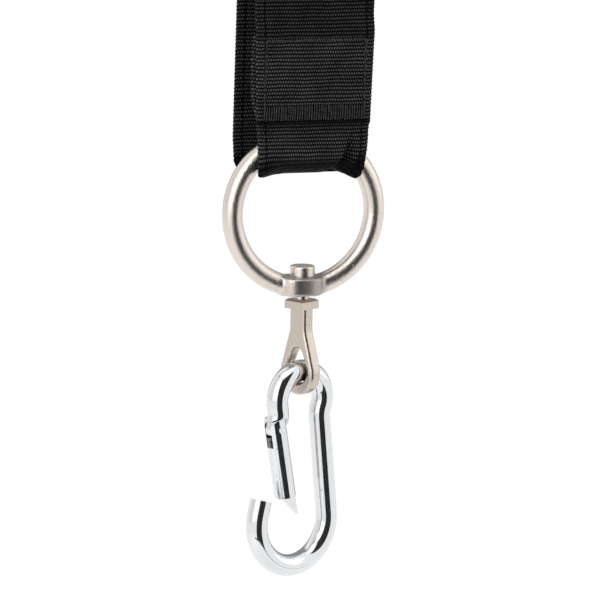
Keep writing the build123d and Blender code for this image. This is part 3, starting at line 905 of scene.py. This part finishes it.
def boss_distance(p):
    """Roughly the distance from an upright column with rounded edges and a squarish round plan."""
    along_hoop = np.abs((p[..., 0] + BOSS_LEFT) / BOSS_LENGTH) ** BOSS_POWER
    across_hoop = np.abs(p[..., 1] / BOSS_RADIUS) ** BOSS_POWER
    plan = (along_hoop + across_hoop) ** (1 / BOSS_POWER)
    side = plan * BOSS_RADIUS - (BOSS_RADIUS - BOSS_EDGE)
    end = np.abs(p[..., 2] - BOSS_MIDDLE) - (BOSS_HEIGHT / 2 - BOSS_EDGE)
    outside = np.sqrt(np.maximum(side, 0) ** 2 + np.maximum(end, 0) ** 2)
    return outside + np.minimum(np.maximum(side, end), 0) - BOSS_EDGE


def blended_distance(p):
    """The smaller of the two distances, with a soft corner where they are nearly equal."""
    # inside the boss the wire is cut away, so that the boss keeps its flat ends
    from_pin = np.sqrt(p[..., 0] ** 2 + p[..., 1] ** 2)
    in_boss = smoothstep(BOSS_RADIUS, BOSS_RADIUS - CUT_EASE, from_pin) * (p[..., 2] < HOOP_CENTRE)
    hoop = hoop_distance(p) + WIRE_CUT * in_boss
    boss = boss_distance(p)
    near_equal = np.maximum(BLEND - np.abs(hoop - boss), 0) / BLEND
    return np.minimum(hoop, boss) - near_equal**2 * BLEND / 4


# %% [markdown]
# The surface is where the blended distance is zero.  From each point of the wire's centre line a ray goes
# out, and its length is halved in on: inside the metal the distance is negative, outside it is positive.
# The rows stand closer together round the boss, where the shape changes most.

# %% Make the ring
HOOP_ROWS, WIRE_COLUMNS = 288, 72
CROWDING = 0.75
SHORTEST_RAY, LONGEST_RAY, HALVINGS = 0.5, 9.5, 30
SKIN_REACH, SKIN_TINT, SKIN_ROUGHNESS = 8.6, 0.54, 0.12  # of the grainy skin round the boss

even = np.linspace(-pi, pi, HOOP_ROWS, endpoint=False)
hoop_turn = even - CROWDING * np.sin(even)
wire_turn = np.linspace(0, 2 * pi, WIRE_COLUMNS, endpoint=False)
turn_grid, wire_grid = np.meshgrid(hoop_turn, wire_turn, indexing="ij")
outward_x, outward_z = np.sin(turn_grid), -np.cos(turn_grid)
wire_line = np.stack(
    [HOOP_RADIUS * outward_x, 0 * turn_grid, HOOP_CENTRE + HOOP_RADIUS * outward_z],
    axis=-1,
)
ray = np.stack(
    [np.cos(wire_grid) * outward_x, np.sin(wire_grid), np.cos(wire_grid) * outward_z],
    axis=-1,
)
near, far = np.full(turn_grid.shape, SHORTEST_RAY), np.full(turn_grid.shape, LONGEST_RAY)
for _ in range(HALVINGS):
    middle = (near + far) / 2
    in_metal = blended_distance(wire_line + ray * middle[..., None]) < 0
    near, far = np.where(in_metal, middle, near), np.where(in_metal, far, middle)

cast_boss = satin_nickel.copy()
cast_boss.name = "cast_boss_nickel_plate"
roughen_round(cast_boss, (0, 0, BOSS_MIDDLE), SKIN_REACH, SKIN_TINT, SKIN_ROUGHNESS)
ring = new_piece("ring_blended", "ring", cast_boss)
fill_mesh(
    ring.data,
    wire_line + ray * near[..., None],
    grid_faces(HOOP_ROWS, WIRE_COLUMNS, close_rows=True, close_columns=True),
)
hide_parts("ring")
print("ring wire", round(float(near.min()), 2), "to", round(float(near.max()), 2), "mm from its middle")

# %% [markdown]
# ## The gate's spring
# A coil in the gate's bore pushes the plunger out.  When the gate swings further open the plunger is pressed
# in by a quarter of a millimetre and the coil gets shorter.  A rigid coil would be cut by the plunger, so a
# copy of its mesh is made a piece of its own.

# %% Make the spring
MERGE_DISTANCE = 0.001

joints = frame["record"]["behaviour"]["joints"]
slide_joint = next(joint for joint in joints if joint["name"] == "plunger_slide")
bore_axis = np.array(slide_joint["axis"])
spring = new_piece("return_spring", "gate", spring_steel)
coil_mesh = bmesh.new()
coil_mesh.from_mesh(bpy.data.objects["gate_spring"].data)
bmesh.ops.remove_doubles(coil_mesh, verts=coil_mesh.verts, dist=MERGE_DISTANCE * MM)
coil_mesh.to_mesh(spring.data)
coil_mesh.free()
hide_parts("gate_spring")

coil_points = np.array([corner.co for corner in spring.data.vertices])
depth_in_bore = coil_points @ bore_axis
tuple(coil_points[depth_in_bore.argmax()])
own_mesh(spring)

# %% [markdown]
# ## The floor
# A plain pale floor, half a metre below the object, where the shadow that falls on it is too soft to see.

# %% Make the floor
FLOOR_DROP = 0.5
FLOOR_REACH = 6.0

floor_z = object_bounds()[0][2] - FLOOR_DROP
floor = new_object("floor")
floor.data.from_pydata(
    [
        (-FLOOR_REACH, -FLOOR_REACH, floor_z),
        (FLOOR_REACH, -FLOOR_REACH, floor_z),
        (FLOOR_REACH, FLOOR_REACH, floor_z),
        (-FLOOR_REACH, FLOOR_REACH, floor_z),
    ],
    [],
    [(0, 1, 2, 3)],
)
pale_floor, _, _ = new_material("pale_floor", {"Roughness": 0.9, "Base Color": colour("#FCFCFC")})
floor.data.materials.append(pale_floor)
print("floor", round(-floor_z, 3), "m below the frame's origin")

# %% [markdown]
# ## A card to mirror
# Plated metal shows what stands around it.  In a white room it would look like paper, so a black card stands
# in front of the object, and gives the wires the broad dark stripe that tells the eye they are round.  At
# its foot a thin bar goes on to both sides, as a table's far edge does.  The camera doesn't see the card
# itself.

# %% Make the black card
CARD_DISTANCE = 0.55
CARD_FROM, CARD_TO = -4, 53  # degrees, from the camera's own direction to its left and right
CARD_LOW, CARD_TOP = -31.0, 46.0  # degrees, down and up from the hook
BAR_FROM, BAR_TO = -34, 92
CARD_COLUMNS = 15

hook_low, hook_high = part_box("hook_body")
hook_height = (hook_low[2] + hook_high[2]) / 2
across_card = np.linspace(CARD_FROM, CARD_TO, CARD_COLUMNS)
card_turn = VIEW_AZIMUTH + np.radians([BAR_FROM, CARD_FROM, *across_card, CARD_TO, BAR_TO])
card_top = [-28.5, -28.0, *np.full(CARD_COLUMNS, CARD_TOP), -28.0, -28.5]
card_low = [-29.5, CARD_LOW, *np.full(CARD_COLUMNS, CARD_LOW), CARD_LOW, -29.5]
card_x, card_y = CARD_DISTANCE * np.sin(card_turn), -CARD_DISTANCE * np.cos(card_turn)
card_rows = [
    np.stack([card_x, card_y, hook_height + CARD_DISTANCE * np.tan(np.radians(height))], axis=-1)
    for height in (card_low, card_top)
]
card = new_object("black_card")
black_card, _, _ = new_material("black_card", {"Roughness": 0.9, "Base Color": colour("#1C1C1C")})
card.data.materials.append(black_card)
fill_mesh(card.data, np.stack(card_rows) / MM, grid_faces(2, len(card_turn)))
card.visible_camera = False
card.visible_shadow = False

# %% [markdown]
# ## Lamps
# Three soft boxes: a strong one at the left, a weak one at the right to fill, and one above.  Each is placed
# by its heading from the camera's direction and its height, and faces the object.


# %% Make the lamps
def soft_lamp(name, heading, elevation, distance, wide, tall, radiance):
    """A rectangular lamp that faces the object; its power is pi times its area times its radiance."""
    lamp = bpy.data.lights.new(name, "AREA")
    lamp.shape = "RECTANGLE"
    lamp.size, lamp.size_y = wide, tall
    lamp.energy = pi * wide * tall * radiance
    holder = bpy.data.objects.new(name, lamp)
    bpy.context.scene.collection.objects.link(holder)
    turned = VIEW_AZIMUTH + radians(heading)
    level = cos(radians(elevation))
    away = Vector((sin(turned) * level, -cos(turned) * level, sin(radians(elevation))))
    facing = away.to_track_quat("Z", "Y").to_matrix().to_4x4()
    holder.matrix_world = Matrix.Translation(target + away * distance) @ facing
    print(name, round(lamp.energy, 2), "W")


soft_lamp("left_softbox", -32, 22, 1.1, 0.75, 1.0, 1.2)
soft_lamp("right_softbox", 95, 25, 1.1, 0.7, 1.0, 0.4)
soft_lamp("top_softbox", 0, 66, 1.2, 1.2, 0.6, 0.5)

# %% [markdown]
# ## The room
# The room is white.  A slightly grey wall stands beside the left lamp, and a dim space lies behind the
# object, which shows along the outlines of the metal and in the views from behind.  It could be built of
# real walls, but a world that is shaded by its heading is smooth and throws no shadow.

# %% Shade the room by its heading
ROOM_LIGHT, WALL_LIGHT, BEHIND_LIGHT = 1.06, 0.85, 0.3
GREY_HEADING, GREY_HALF = VIEW_AZIMUTH - radians(84), radians(32)
BEHIND_FROM, BEHIND_FULL = radians(46), radians(20)  # from the direction straight behind

world = bpy.data.worlds.new("studio")
bpy.context.scene.world = world
world.use_nodes = True
sky = world.node_tree
background = sky.nodes["Background"]
direction = add_node(sky, "TexCoord", output="Generated")
direction_x = add_node(sky, "SeparateXYZ", (direction,))
direction_y = direction_x.node.outputs[1]
minus_y = add_node(sky, "Math", (direction_y, -1.0), operation="MULTIPLY")
heading = add_node(sky, "Math", (direction_x, minus_y), operation="ARCTAN2")

past_grey = add_node(sky, "Math", (heading, GREY_HEADING), operation="SUBTRACT")
off_grey = add_node(sky, "Math", (past_grey,), operation="ABSOLUTE")
grey_range = {
    "Value": off_grey,
    "From Min": GREY_HALF * 0.4,
    "From Max": GREY_HALF * 1.2,
    "To Min": WALL_LIGHT,
    "To Max": ROOM_LIGHT,
}
wall = add_node(sky, "MapRange", grey_range, interpolation_type="SMOOTHSTEP")

off_view = add_node(sky, "Math", (heading, VIEW_AZIMUTH), operation="SUBTRACT")
ahead = add_node(sky, "Math", (off_view,), operation="COSINE")
behind_range = {
    "Value": ahead,
    "From Min": -cos(BEHIND_FROM),
    "From Max": -cos(BEHIND_FULL),
    "To Min": 1.0,
    "To Max": BEHIND_LIGHT,
}
behind = add_node(sky, "MapRange", behind_range, interpolation_type="SMOOTHSTEP")
room = add_node(sky, "Math", (wall, behind), operation="MULTIPLY")
print("grey wall", round(GREY_HEADING, 2), "radians from straight ahead")

# %% [markdown]
# The grey wall and the dim space are only mirrored.  The light that falls on cloth and floor is even, and
# the backdrop that the camera sees is white.

# %% Light the room
BACKDROP_LIGHT = 1.1

is_glossy = add_node(sky, "LightPath", output="Is Glossy Ray")
is_camera = is_glossy.node.outputs["Is Camera Ray"]
dimming = add_node(sky, "Math", (room, ROOM_LIGHT), operation="SUBTRACT")
mirrored = add_node(sky, "Math", (dimming, is_glossy, ROOM_LIGHT), operation="MULTIPLY_ADD")
backdrop = add_node(sky, "Math", (is_camera, BACKDROP_LIGHT), operation="MULTIPLY")
strength = add_node(sky, "Math", (mirrored, backdrop), operation="MAXIMUM")
background.inputs["Color"].default_value = (1, 1, 1, 1)
sky.links.new(strength, background.inputs["Strength"])
print("the room takes", len(sky.nodes), "nodes")

# %% [markdown]
# The plain colour transform shows each colour as it was written, with no film look over it.

# %% Show colours as written
bpy.context.scene.view_settings.view_transform = "Standard"
bpy.context.scene.view_settings.look = "None"
print("view", bpy.context.scene.view_settings.view_transform)
